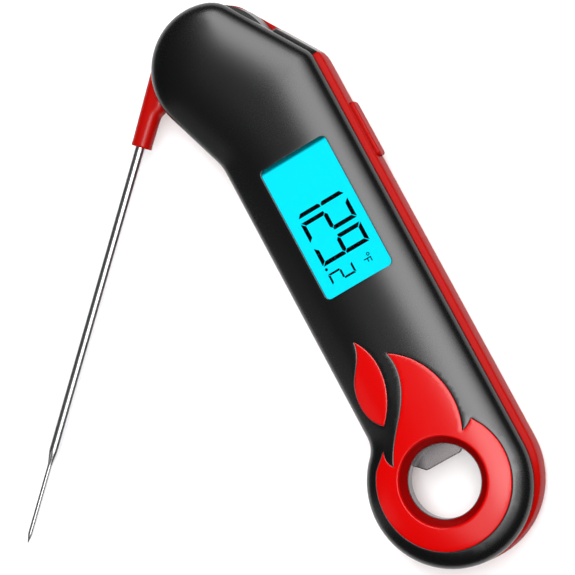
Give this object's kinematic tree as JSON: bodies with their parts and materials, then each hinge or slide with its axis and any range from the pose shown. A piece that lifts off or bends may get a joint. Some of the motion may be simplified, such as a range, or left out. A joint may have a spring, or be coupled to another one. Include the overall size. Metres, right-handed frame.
{
  "type": "folding meat thermometer",
  "caption": "Folding digital meat thermometer with a swing-out steel probe, lit display, side button and hanging hole with a bottle opener.",
  "frame": {"origin": "centre of the hanging hole, on the plane of the flat back", "axes": "+Y along the body from the hanging hole to the round head, +Z out of the front with the display, +X to the right seen from the front"},
  "size_m": [0.1414, 0.1677, 0.018],
  "materials": {
    "black_shell": "fine satin texture",
    "red_shell": "semi-gloss moulded",
    "red_inlay": "gloss moulded",
    "red_sleeve": "semi-gloss moulded",
    "black_hub": "satin moulded",
    "red_button": "semi-gloss moulded",
    "black_rubber": "soft seal",
    "steel": "turned",
    "brushed_steel": "stamped and brushed",
    "probe_steel": "polished tube",
    "cell_steel": "polished cell case",
    "brass_leaf": "stamped leaf",
    "clear_lens": "clear polished",
    "lcd_face": "lit liquid crystal",
    "backlight": "lit diffuser",
    "black_plastic": "moulded",
    "white_plastic": "moulded",
    "board": "solder mask",
    "chip": "moulded epoxy",
    "magnet": "plated",
    "lead": "insulated wire"
  },
  "bodies": {
    "housing": {"front_cover": "black_shell", "rear_cover": "red_shell", "housing_seal": "black_rubber", "case_screws": "steel", "flame_inlay": "red_inlay", "flame_leaf": "red_inlay", "opener_plate": "brushed_steel", "hole_collar": "brushed_steel", "display_lens": "clear_lens", "lcd_glass": "lcd_face", "lcd_backlight": "backlight", "lcd_frame": "black_plastic", "zebra_strips": "black_rubber", "circuit_board": "board", "controller_chip": "chip", "board_parts": "chip", "wake_sensor": "chip", "tact_switch": "black_plastic", "button_seal": "black_rubber", "battery_holder": "black_plastic", "coin_cell": "cell_steel", "contact_plus": "brass_leaf", "contact_minus": "brass_leaf", "back_magnets": "magnet", "hinge_bush": "steel", "hinge_screw": "steel", "friction_washer": "white_plastic", "spring_washer": "steel", "board_leads": "lead"},
    "probe": {"probe_hub": "black_hub", "probe_sleeve": "red_sleeve", "hub_ring": "black_rubber", "wake_magnet": "magnet", "probe_tube": "probe_steel", "thermistor": "chip", "probe_wires": "lead"},
    "button": {"side_button": "red_button", "switch_plunger": "white_plastic"},
    "door": {"battery_door": "red_shell", "door_seal": "black_rubber"}
  },
  "joints": [
    {"name": "probe_fold", "type": "hinge", "parent": "housing", "child": "probe", "pos_m": [-0.0029, 0.1264, 0.0082], "axis": [0, 0, -1], "range_deg": [-46.55, 133.45]},
    {"name": "button_press", "type": "slide", "parent": "housing", "child": "button", "axis": [-1, 0, 0], "range_m": [0, 0.0006], "stiffness_N_per_m": 1500},
    {"name": "battery_door_turn", "type": "hinge", "parent": "housing", "child": "door", "pos_m": [0.0046, 0.0395, 0.001], "axis": [0, 0, 1], "range_deg": [0, 60]}
  ]
}
